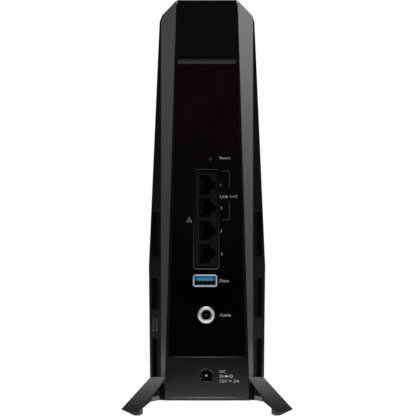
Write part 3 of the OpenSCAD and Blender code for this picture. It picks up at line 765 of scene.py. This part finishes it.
# screw thread: a row of crests spun once round while it climbs by one pitch
def helix(look):
    shape = bmesh.new()
    low, high = look["thread"]
    turns = int((high - low) / look["pitch"]) - 1
    root, crest = look["core"] - 0.02, look["crest"] - 0.02
    outline = []
    for i in range(turns):
        start = low + i * look["pitch"]
        outline += [(root, start), (crest, start + 0.35), (crest, start + 0.43), (root, start + 0.75)]
    outline.append((root, low + turns * look["pitch"]))
    outline += [(root - 0.3, low + i * look["pitch"]) for i in range(turns, -1, -1)]
    points = [shape.verts.new((radius * mm, 0, along * mm)) for radius, along in outline]
    edges = [shape.edges.new(pair) for pair in zip(points, points[1:] + points[:1])]
    steps = 72
    bmesh.ops.spin(
        shape, geom=points + edges, cent=(0, 0, 0), axis=(0, 0, 1), angle=math.tau,
        steps=steps, dvec=(0, 0, look["pitch"] * mm / steps),
    )
    bmesh.ops.remove_doubles(shape, verts=shape.verts, dist=1e-6)
    bmesh.ops.holes_fill(shape, edges=[e for e in shape.edges if e.is_boundary], sides=0)
    bmesh.ops.recalc_face_normals(shape, faces=shape.faces)
    return shape


makeCoax()

# ---- power socket: domed pin and a bent leaf ----

pinSet = {"radius": 1.0, "dome": ((0, 0), (0.36, 0.03), (0.7, 0.17), (0.91, 0.42), (1.0, 0.8))}


def makePowerPin():
    low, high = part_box("power_pin")
    length = (high.y - low.y) / mm
    outline = [(radius, -drop) for radius, drop in pinSet["dome"]]
    outline += [(pinSet["radius"], -length), (0, -length)]
    shape = bmesh.new()
    spot = middle("power_pin")
    join(shape, turned(outline, 40), (spot.x, low.y, spot.z), facingRear)
    replaceNode(shape, "powerPin", "power_pin", material=pinNickel)


leafSet = {"bow": 0.9, "steps": 12, "edge": 0.06, "crease": 0.8, "hump": 1.15}


def makePowerLeaf():
    low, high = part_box("power_spring")
    shape = roundedBlock(low, high, 0)
    bmesh.ops.subdivide_edges(
        shape, edges=[e for e in shape.edges if abs(e.verts[0].co.y - e.verts[1].co.y) > mm],
        cuts=leafSet["steps"],
    )
    for vert in shape.verts:
        along = (vert.co.y - low.y) / (high.y - low.y)
        vert.co.x += leafSet["bow"] * mm * math.sin(math.pi * min(1, along * leafSet["hump"])) ** 2
    bmesh.ops.bevel(
        shape, geom=[e for e in shape.edges if e.calc_face_angle(0) > leafSet["crease"]],
        offset=leafSet["edge"] * mm, segments=2, profile=0.5, affect="EDGES", material=-1,
    )
    bmesh.ops.recalc_face_normals(shape, faces=shape.faces)
    replaceNode(shape, "powerLeaf", "power_spring")


makePowerPin()
makePowerLeaf()

# ---- network contacts: eight bent wires in each socket ----

wireSet = {
    "radius": 0.17, "steps": 8, "hook": 0.75,
    # x from the fixed end, and y from the panel
    "run": ((0.0, 14.4), (0.0, 3.9)), "tail": ((1.5, 3.6), (2.5, 10.6)),
}


def makeNetworkContacts():
    shape = bmesh.new()
    look = wireSet
    for low, high in islandBoxes("lan_contacts"):
        x0 = low.x + 0.16 * mm
        z = (low.z + high.z) / 2
        route = [(x0 + a * mm, panelY + b * mm, z) for a, b in look["run"]]
        center = (x0 + look["hook"] * mm, panelY + look["run"][1][1] * mm)
        for i in range(1, look["steps"]):
            angle = math.pi * (1 + i / look["steps"])
            route.append((
                center[0] + look["hook"] * mm * math.cos(angle),
                center[1] + look["hook"] * mm * math.sin(angle), z,
            ))
        route += [(x0 + a * mm, panelY + b * mm, z) for a, b in look["tail"]]
        join(shape, wireTube(route, look["radius"] * mm, sides=1))
    replaceNode(shape, "networkContacts", "lan_contacts", material=shadedSocketBrass)


makeNetworkContacts()

# ---- bead round the network jack ----

beadSet = {"half": (7.68, 30.38), "corner": 1.6, "radius": 0.3, "steps": 8, "lift": 0.52}


def makeJackBead():
    look = beadSet
    x, z = middle("coax_insulator").x, middle("lan_housing").z
    wide, tall = look["half"][0] - look["corner"], look["half"][1] - look["corner"]
    route = []
    for quarter, (sx, sz) in enumerate(((1, 1), (-1, 1), (-1, -1), (1, -1))):
        for i in range(look["steps"] + 1):
            angle = math.pi / 2 * (quarter + i / look["steps"])
            route.append((
                x + (sx * wide + look["corner"] * math.cos(angle)) * mm,
                panelY - look["lift"] * mm,
                z + (sz * tall + look["corner"] * math.sin(angle)) * mm,
            ))
    shape = wireTube(route, look["radius"] * mm, closed=True, sides=3)
    finishPiece(shape, "jackBead", "gloss_black", material=beadFinish(), sharpAngle=60)


makeJackBead()

# ---- moulded lips with painted highlights: under the recess, and along the foot of the column ----

lipSet = (
    # name, middle height, half height, half length, how far it stands out, painted highlight colour,
    # length over which the highlight fades
    ("recessLip", 35.75, 0.42, 22.5, 0.12, (0.075, 0.07, 0.072), 24),
    ("footLip", 11.0, 0.42, 23.5, 0.14, (0.19, 0.178, 0.18), 34),
)


def makeLips():
    for name, height, half, reach, out, color, fade in lipSet:
        low = (-reach * mm, rearY - out * mm, (height - half) * mm)
        high = (reach * mm, rearY + 0.4 * mm, (height + half) * mm)
        lip = roundedBlock(low, high, out * mm, 3)
        finishPiece(lip, name, "gloss_black", material=lipFinish(name, color, fade))


makeLips()

# ---- data port: leaf springs in the shell, and raised contacts on the tongue ----

springSet = {
    "length": 7.5, "width": 1.5, "thickness": 0.2, "spots": (-3.1, 3.1), "bow": 0.55,
    "start": 1.2, "fromCenter": 2.42,
}


def makePortSprings():
    look = springSet
    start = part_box("usb_shell")[0].y + look["start"] * mm
    long, half, thin = look["length"] * mm, look["width"] / 2 * mm, look["thickness"] / 2 * mm
    spot = middle("usb_core")
    shape = bmesh.new()
    for side in (-1, 1):
        z = spot.z + side * look["fromCenter"] * mm
        for shift in look["spots"]:
            x = spot.x + shift * mm
            leaf = roundedBlock(
                (x - half, start, z - thin), (x + half, start + long, z + thin), 0
            )
            lengthwise = [e for e in leaf.edges if abs(e.verts[0].co.y - e.verts[1].co.y) > mm]
            bmesh.ops.subdivide_edges(leaf, edges=lengthwise, cuts=10)
            for vert in leaf.verts:
                along = (vert.co.y - start) / long
                vert.co.z -= side * look["bow"] * mm * math.sin(math.pi * along) ** 2
            bmesh.ops.recalc_face_normals(leaf, faces=leaf.faces)
            join(shape, leaf)
    finishPiece(shape, "portSprings", slotOf["usb_shell"])


noseSet = {"padEdge": 0.07, "inset": 0.1, "edge": 0.1, "long": 2.6, "drop": 0.22, "sunk": 0.05}


def makePortContacts():
    look = {key: value * mm for key, value in noseSet.items()}
    inset = look["inset"]
    shape = bmesh.new()
    for low, high in islandBoxes("usb_contacts"):
        join(shape, roundedBlock(low, high, look["padEdge"]))
        join(shape, roundedBlock(
            (low.x + inset, low.y + inset, low.z - look["drop"]),
            (high.x - inset, low.y + look["long"], low.z + look["sunk"]), look["edge"],
        ))
    replaceNode(shape, "portContacts", "usb_contacts")


makePortSprings()
makePortContacts()

# ---- electrolytic capacitors: sleeve groove and scored vent ----

canSet = {
    "score": (2.2, 0.12, 11.2, 11.36), "scoreEdge": 0.04,
    "outline": (
        (0, 0), (3.55, 0), (3.85, 0.12), (4.0, 0.4), (4.0, 1.5), (3.9, 1.75), (3.7, 1.9),
        (3.7, 2.15), (3.9, 2.3), (4.0, 2.55), (4.0, 10.9), (3.93, 11.25), (3.7, 11.45),
        (3.45, 11.5), (3.3, 11.42), (3.22, 11.3), (0, 11.3),
    ),
}


def makeCapacitors():
    shape = bmesh.new()
    long, wide, bottom, top = [c * mm for c in canSet["score"]]
    for low, high in islandBoxes("capacitors"):
        spot = Vector((low.x, (low.y + high.y) / 2, (low.z + high.z) / 2))
        join(shape, turned(canSet["outline"], 48), spot, facingRight)
        for turn in (45, 135):
            score = roundedBlock(
                (-long, -wide, bottom), (long, wide, top), canSet["scoreEdge"] * mm
            )
            score.transform(Matrix.Rotation(math.radians(turn), 4, "Z"))
            join(shape, score, spot, facingRight)
    replaceNode(shape, "capacitorCans", "capacitors")


makeCapacitors()

# ---- antenna leads: smooth coaxial cables with plugs at the radio board ----

leadSet = {
    "radius": 0.65, "plug": ((0, 0), (0.95, 0), (1.1, 0.2), (1.1, 1.9), (0.8, 2.3), (0, 2.3)),
    "routes": (
        ((22.4, -44, 175.9), (22.4, -44, 158), (24, -20, 158), (14, -20, 173)),
        ((22.4, 48, 175.9), (22.4, 48, 158), (24, 36, 158), (14, 36, 173)),
        ((-22.4, -44, 222.1), (-20, -44, 262), (34, -20, 240), (14, -20, 212)),
        ((-22.4, 48, 222.1), (-20, 48, 262), (34, 36, 240), (14, 36, 212)),
    ),
}


def makeLeads():
    shape = bmesh.new()
    for route in leadSet["routes"]:
        start, leave, arrive, end = [Vector(point) * mm for point in route]
        tube = wireTube(
            (start, end), leadSet["radius"] * mm,
            handles=((start, leave), (arrive, end)), sides=3,
        )
        join(shape, tube)
        pull = (arrive - end).normalized().to_track_quat("Z", "Y").to_matrix().to_4x4()
        join(shape, turned(leadSet["plug"], 24), end, pull)
    replaceNode(shape, "antennaCables", "antenna_leads")


makeLeads()

# ---- foam strip that closes the gap between the chassis and the front panel ----

stripSet = {"low": (-14.0, 57.6, 18.0), "high": (-12.4, 69.0, 126.0), "edge": 0.4}


def makeGapStrip():
    low, high = Vector(stripSet["low"]) * mm, Vector(stripSet["high"]) * mm
    finishPiece(roundedBlock(low, high, stripSet["edge"] * mm), "gapStrip", "foam")


makeGapStrip()

# ---- small parts on the main board ----

partSet = {
    "count": 190, "seed": 11, "margin": 4.0, "clear": 1.2, "sunk": 0.02, "edge": 0.06,
    "lowProfile": 0.55,
    "missCost": 0.1,  # a spot that is taken counts as a tenth of a part
}
partKinds = (  # along Y, along Z and height in millimetres, then how often
    ((1.0, 0.5, 0.35), 6), ((0.5, 1.0, 0.35), 6), ((1.6, 0.8, 0.5), 4), ((0.8, 1.6, 0.5), 4),
    ((2.0, 1.25, 0.9), 2), ((3.2, 1.6, 0.6), 1), ((3.0, 3.0, 0.85), 2), ((5.0, 4.4, 1.0), 1),
)
boardNeighbours = (
    "lan_housing", "lan_magnetics", "tuner_shield", "processor_shield", "main_heatsink",
    "memory_chips", "capacitors", "inductors", "wifi_spacers", "board_screws", "coax_barrel",
    "usb_shell", "power_jack", "reset_switch", "led_ribbon",
)


def makeBoardParts():
    rng = random.Random(partSet["seed"])
    low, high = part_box("main_board")
    faceX = high.x
    taken = [box for node in boardNeighbours for box in islandBoxes(node)]
    kinds = [kind for kind, often in partKinds for repeat in range(often)]
    small, large = bmesh.new(), bmesh.new()
    margin, clear = partSet["margin"] * mm, partSet["clear"] * mm
    made = 0
    while made < partSet["count"]:
        wide, tall, deep = [c * mm for c in rng.choice(kinds)]
        y = rng.uniform(low.y + margin, high.y - margin)
        z = rng.uniform(low.z + margin, high.z - margin)
        boxLow = Vector((faceX - partSet["sunk"] * mm, y - wide / 2, z - tall / 2))
        boxHigh = Vector((faceX + deep, y + wide / 2, z + tall / 2))
        blocked = any(
            boxLow.y < b.y + clear and boxHigh.y > a.y - clear
            and boxLow.z < b.z + clear and boxHigh.z > a.z - clear
            for a, b in taken
        )
        if blocked:
            made += partSet["missCost"]
            continue
        taken.append((boxLow, boxHigh))
        target = small if deep < partSet["lowProfile"] * mm else large
        join(target, roundedBlock(boxLow, boxHigh, partSet["edge"] * mm, 1))
        made += 1
    finishPiece(small, "smallBoardParts", "board_green", material=plainFinish("ceramicParts"))
    finishPiece(large, "largeBoardParts", "chip_black")


makeBoardParts()

# ---- printed legends ----

inkLift = 0.03 * mm
wordSquash = 0.84


# generic words in ink: left edge, middle height and either width or tallness in millimetres;
# words given by width are squashed a little
def addWords(shape, words, left, height, width, faceY, tall=None):
    data = bpy.data.curves.new("words", "FONT")
    data.body = words
    data.size = 1
    data.resolution_u = 2
    data.extrude = 0.004
    glyphs = meshOfCurve(data)
    xs = [vert.co.x for vert in glyphs.verts]
    ys = [vert.co.y for vert in glyphs.verts]
    grow = tall * mm / (max(ys) - min(ys)) if tall else width * mm / (max(xs) - min(xs))
    shift = Matrix.Translation((-min(xs), -(max(ys) + min(ys)) / 2, 0))
    flat = grow if tall else grow * wordSquash
    glyphs.transform(Matrix.Diagonal((grow, flat, inkLift / 0.008, 1)) @ shift)
    join(shape, glyphs, (left * mm, faceY - inkLift / 2, height * mm), facingRear)


# inked bar between two corners, in millimetres across and up
def addBar(shape, x0, x1, z0, z1, faceY):
    join(shape, roundedBlock(
        (x0 * mm, faceY - inkLift, z0 * mm), (x1 * mm, faceY + inkLift * 0.2, z1 * mm), 0
    ))


# inked ring, or a dot when the inner radius is 0
def addRing(shape, x, z, outer, inner, faceY):
    outline = [(inner, 0), (outer, 0), (outer, 0.03), (inner, 0.03)]
    ring = turned(outline, 32, looped=inner > 0)
    join(shape, ring, (x * mm, faceY, z * mm), facingRear)


legendSet = {
    # words, left edge, middle height, width
    "words": (
        ("Reset", 7.75, 157.5, 6.5), ("Link 1+2", 7.9, 133.9, 10.6), ("Data", 7.75, 82.4, 5.6),
        ("Cable", 7.9, 61.4, 6.7),
    ),
    "digits": ((1, 140.8), (2, 126.8), (3, 112.7), (4, 98.8)), "digitLeft": 8.25, "digitTall": 1.75,
    "line": 0.22,
    "bracket": {"x": (8.9, 13.8), "top": 149.5, "gapHigh": 138.6, "gapLow": 131.0, "bottom": 119.6},
    "icon": {"x": -10.9, "z": 119.6, "box": 0.9, "out": 1.0, "line": 0.1, "under": 0.15},
}


def makeLegends():
    look = legendSet
    shape = bmesh.new()
    for words, left, height, width in look["words"]:
        addWords(shape, words, left, height, width, panelY)
    for digit, height in look["digits"]:
        addWords(shape, str(digit), look["digitLeft"], height, 0, panelY, look["digitTall"])
    finishPiece(shape, "portLegends", "label_stock", material=legendInk)
    shape = bmesh.new()
    thick = look["line"]
    frameOf = look["bracket"]
    x0, x1 = frameOf["x"]
    addBar(shape, x0, x1, frameOf["top"] - thick, frameOf["top"], panelY)
    addBar(shape, x1 - thick, x1, frameOf["gapHigh"], frameOf["top"] - thick, panelY)
    addBar(shape, x1 - thick, x1, frameOf["bottom"] + thick, frameOf["gapLow"], panelY)
    addBar(shape, x0, x1, frameOf["bottom"], frameOf["bottom"] + thick, panelY)
    finishPiece(shape, "portLines", "label_stock", material=lineInk)
    shape = bmesh.new()
    icon = look["icon"]
    half, out, line = icon["box"] / 2, icon["out"], icon["line"]
    for dx, dz in ((0, 1.0), (-1, -1.0), (1, -1.0)):
        x, z = icon["x"] + dx * out, icon["z"] + dz * out
        addBar(shape, x - half, x + half, z - half, z + half, panelY)
    x, z = icon["x"], icon["z"]
    under = z - icon["under"]
    addBar(shape, x - line, x + line, z, z + out - half, panelY)
    addBar(shape, x - out - line, x + out + line, under, z + line, panelY)
    for side in (-1, 1):
        leg = x + side * out
        addBar(shape, leg - line, leg + line, z - out + half, under, panelY)
    finishPiece(shape, "portIcon", "label_stock", material=iconInk)


powerLegendSet = {
    "words": (("DC", 7.75, 26.9, 3.6), ("12V = 3A", 7.75, 21.1, 12.0)),
    "symbol": {"z": 24.05, "left": 8.75, "right": 14.7, "middle": 11.7, "radius": 0.95},
    "ring": 0.3, "line": 0.14,
    "dot": 0.75, "reach": 0.7,  # parts of the rings' radius
}


def makePowerLegends():
    look = powerLegendSet
    shape = bmesh.new()
    for words, left, height, width in look["words"]:
        addWords(shape, words, left, height, width, rearY)
    mark = look["symbol"]
    z, r = mark["z"], mark["radius"]
    for ringX in (mark["left"], mark["right"]):
        addRing(shape, ringX, z, r, r - look["ring"], rearY)
    addRing(shape, mark["middle"], z, r * look["dot"], 0, rearY)
    reach, low, high = r * look["reach"], z - look["line"], z + look["line"]
    addBar(shape, mark["left"] + r, mark["middle"] - reach, low, high, rearY)
    addBar(shape, mark["middle"] + reach, mark["right"] - r, low, high, rearY)
    finishPiece(shape, "powerLegends", "label_stock", material=legendInk)


makeLegends()
makePowerLegends()

# ---- marks on the two side keys: linked rings, and waves ----

keySet = {
    "lift": 0.02, "half": 0.03, "ring": (1.15, 0.85), "apart": 0.75,
    "waves": (0.9, 1.7, 2.5), "line": 0.3, "dot": 0.35, "drop": -1.1,
}


# the middle and outward direction of the largest face that looks towards -X
def keyFace(node):
    shape = mergedCopy(node)
    faces = [face for face in shape.faces if face.normal.x < -0.8]
    widest = max(
        faces, key=lambda face: (round(face.calc_area() * 1e9, 1), -face.calc_center_median().x)
    )
    found = widest.calc_center_bounds(), widest.normal.copy()
    shape.free()
    return found


# flattened arc between two angles in degrees
def arcTube(center, radius, start, end, line):
    steps = 14
    route = []
    for i in range(steps + 1):
        angle = math.radians(start + (end - start) * i / steps)
        reach = radius * mm
        route.append((
            center[0] + reach * math.cos(angle), center[1] + reach * math.sin(angle), 0,
        ))
    tube = wireTube(route, line / 2 * mm, sides=1)
    tube.transform(Matrix.Diagonal((1, 1, 0.25, 1)))
    return tube


def makeKeyMarks():
    look = keySet
    outer, inner = look["ring"]
    half, drop = look["half"], look["drop"] * mm
    link, waves = bmesh.new(), bmesh.new()
    for side in (-1, 1):
        ring = turned(
            [(inner, -half), (outer, -half), (outer, half), (inner, half)], 40, looped=True
        )
        join(link, ring, (side * look["apart"] * mm, 0, 0))
    for radius in look["waves"]:
        join(waves, arcTube((0, drop), radius, 45, 135, look["line"]))
    dot = turned([(0, -half), (look["dot"], -half), (look["dot"], half), (0, half)], 24)
    join(waves, dot, (0, drop, 0))
    for shape, node, body, name in (
        (link, "pairing_button", "pairing_key", "pairingMark"),
        (waves, "wireless_button", "wireless_key", "wirelessMark"),
    ):
        spot, out = keyFace(node)
        across = Vector((0, 0, 1)).cross(out).normalized()
        basis = Matrix((across, out.cross(across), out)).transposed().to_4x4()
        shape.transform(Matrix.Translation(spot + out * look["lift"] * mm) @ basis)
        finishPiece(shape, name, "label_stock", body, material=lineInk)


makeKeyMarks()

# ---- rating plate print: generic bars only ----

plateSet = {
    "rows": (9.0, 11.0, 7.0, 10.0), "pitch": 1.7, "bar": 0.55, "codeBars": 26, "seed": 5,
    "inset": (2, 3), "codeTall": 4,
}


def makePlatePrint():
    rng = random.Random(plateSet["seed"])
    low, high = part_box("rating_plate")
    faceZ = low.z
    shape = bmesh.new()
    insetX, insetY = plateSet["inset"]
    x0, y0, codeY = low.x / mm + insetX, high.y / mm - insetY, low.y / mm + insetY

    def flatBar(a, b, c, d):
        join(shape, roundedBlock(
            (a * mm, c * mm, faceZ - 0.02 * mm), (b * mm, d * mm, faceZ + 0.01 * mm), 0
        ))

    for i, wide in enumerate(plateSet["rows"]):
        y = y0 - i * plateSet["pitch"]
        flatBar(x0, x0 + wide, y, y + plateSet["bar"])
    x = x0
    for i in range(plateSet["codeBars"]):
        wide = rng.choice((0.18, 0.3, 0.45))
        flatBar(x, x + wide, codeY, codeY + plateSet["codeTall"])
        x += wide + rng.choice((0.2, 0.32, 0.46))
    finishPiece(shape, "platePrint", "label_stock", material=plateInk)


makePlatePrint()
print("stage: pieces made")

# ---- view and light ----

viewSet = {"distance": 4.5, "aside": 0.0006, "height": 0.02, "target": 0.1268, "field": 1.0005}


def placeCamera():
    data = bpy.data.cameras.new("camera")
    rise = viewSet["target"] - viewSet["height"]
    data.sensor_width = 36
    data.lens = 36 * math.hypot(viewSet["distance"], rise) / (viewSet["field"] * overallHeight)
    data.clip_end = 20
    camera = bpy.data.objects.new("camera", data)
    camera.location = (viewSet["aside"], rearY - viewSet["distance"], viewSet["height"])
    camera.rotation_euler = (math.radians(90) + math.atan2(rise, viewSet["distance"]), 0, 0)
    scene.collection.objects.link(camera)
    scene.camera = camera


# place, what it points at, size in metres and power in watts
lightSet = {
    "rightHigh": ((1.0, -0.05, 0.5), (0, 0, 0.25), (0.4, 0.36), 1.9),
    "leftHigh": ((-1.0, -0.05, 0.42), (0, 0, 0.25), (0.4, 0.4), 0.28),
    "overhead": ((0, -0.35, 1.3), (0, -0.05, 0.1), (0.9, 0.7), 5.0),
    "rearHigh": ((0, -1.5, 1.1), (0, 0, 0.05), (0.8, 0.4), 5.0),
    "rearFill": ((0, -2.2, 0.35), (0, 0, 0.12), (1.6, 0.6), 0.08),
    "lowCard": ((0, -0.34, 0.006), (0, 0, 0.012), (0.3, 0.012), 0.02),
}
# how brightly the floor lights the object, its pale pool by distance, and its lift towards white
floorSet = {
    "glow": 1.2, "pool": ((0.16, 1.0), (0.26, 0.5), (0.36, 0.5), (0.5, 0.4), (0.85, 0.1)),
    "lift": (0.93, 1.0, 0.1, 0.5),
}
worldGlow = 0.02


def addSoftbox(name, place, target, size, power):
    data = bpy.data.lights.new(name, "AREA")
    data.shape = "RECTANGLE"
    data.size, data.size_y = size
    data.energy = power
    light = bpy.data.objects.new(name, data)
    light.location = place
    light.rotation_euler = (Vector(target) - Vector(place)).to_track_quat("-Z", "Y").to_euler()
    light.visible_camera = False
    scene.collection.objects.link(light)


# one shader for the camera and another for all other rays
def showByRay(owner, outputKind, unseen, seen):
    isCamera = addNode(owner, "ShaderNodeLightPath").outputs["Is Camera Ray"]
    values = {0: isCamera, 1: unseen.outputs[0], 2: seen.outputs[0]}
    pick = addNode(owner, "ShaderNodeMixShader", values)
    addNode(owner, outputKind, {"Surface": pick.outputs[0]})


def addFloor():
    shape = bmesh.new()
    bmesh.ops.create_circle(shape, cap_ends=True, segments=96, radius=7)
    mesh = bpy.data.meshes.new("floor")
    shape.to_mesh(mesh)
    shape.free()
    floor = bpy.data.objects.new("floor", mesh)
    floor.location.z = -0.0002
    scene.collection.objects.link(floor)
    material = bpy.data.materials.new("paleFloor")
    material.use_nodes = True
    material.node_tree.nodes.clear()
    # what other surfaces see: a pale pool round the object that fades out
    place = addNode(material, "ShaderNodeTexCoord").outputs["Object"]
    reach = addNode(material, "ShaderNodeVectorMath", {0: place}, operation="LENGTH")
    away = reach.outputs["Value"]
    fade = addNode(material, "ShaderNodeValToRGB", {"Fac": away})
    ramp = fade.color_ramp.elements
    for i, glow in enumerate((1.0, 0.01)):
        ramp[i].position = i
        ramp[i].color = (glow, glow, glow, 1)
    for spot, glow in floorSet["pool"]:
        ramp.new(spot).color = (glow, glow, glow, 1)
    values = {"Color": fade.outputs["Color"], "Strength": floorSet["glow"]}
    bounce = addNode(material, "ShaderNodeEmission", values)
    # what the camera sees: a white floor with only the softest shadow near the object
    shown = addNode(material, "ShaderNodeBsdfDiffuse", {"Color": (0.5, 0.5, 0.5, 1)})
    strength = remap(material, away, *floorSet["lift"])
    lift = addNode(material, "ShaderNodeEmission", {"Strength": strength})
    both = addNode(material, "ShaderNodeAddShader", {0: shown.outputs[0], 1: lift.outputs[0]})
    showByRay(material, "ShaderNodeOutputMaterial", bounce, both)
    mesh.materials.append(material)


def setWorld():
    world = bpy.data.worlds.new("studio")
    scene.world = world
    world.use_nodes = True
    world.node_tree.nodes.clear()
    dim = addNode(world, "ShaderNodeBackground", {"Color": (worldGlow, worldGlow, worldGlow, 1)})
    pale = addNode(world, "ShaderNodeBackground", {"Color": (1, 1, 1, 1)})
    showByRay(world, "ShaderNodeOutputWorld", dim, pale)


scene.view_settings.view_transform = "Standard"
placeCamera()
setWorld()
addFloor()
for name, (place, target, size, power) in lightSet.items():
    addSoftbox(name, place, target, size, power)
print("stage: studio set")
